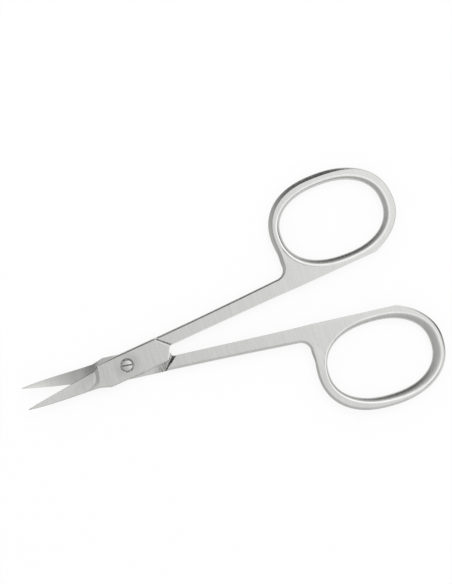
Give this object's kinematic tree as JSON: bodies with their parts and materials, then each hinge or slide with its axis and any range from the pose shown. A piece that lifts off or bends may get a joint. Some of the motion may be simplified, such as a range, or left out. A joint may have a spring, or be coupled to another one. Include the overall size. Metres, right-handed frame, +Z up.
{
  "type": "cuticle scissors",
  "caption": "Small steel cuticle scissors with fine curved tapering blades, a lap joint held by a slotted pivot screw, slim flat shanks and large oval finger bows.",
  "frame": {"origin": "on the pivot axis, in the plane that the scissors rest on, at the screw's flush lower end", "axes": "+X from the pivot toward the finger bows along the line halfway between the two handles, +Y toward the front half's bow, +Z up out of the rest plane toward the slotted screw head"},
  "size_m": [0.0885, 0.0526, 0.003],
  "materials": {
    "satin_steel": "satin stainless steel, brushed across its length",
    "screw_steel": "turned and slotted stainless steel, slightly brighter than the halves"
  },
  "bodies": {
    "rear": {"rear_half": "satin_steel", "pivot_screw": "screw_steel"},
    "front": {"front_half": "satin_steel"}
  },
  "joints": [
    {"name": "blade_pivot", "type": "hinge", "parent": "rear", "child": "front", "pos_m": [0, 0, 0.0011], "axis": [0, 0, 1], "range_deg": [-12.1, 130]}
  ]
}
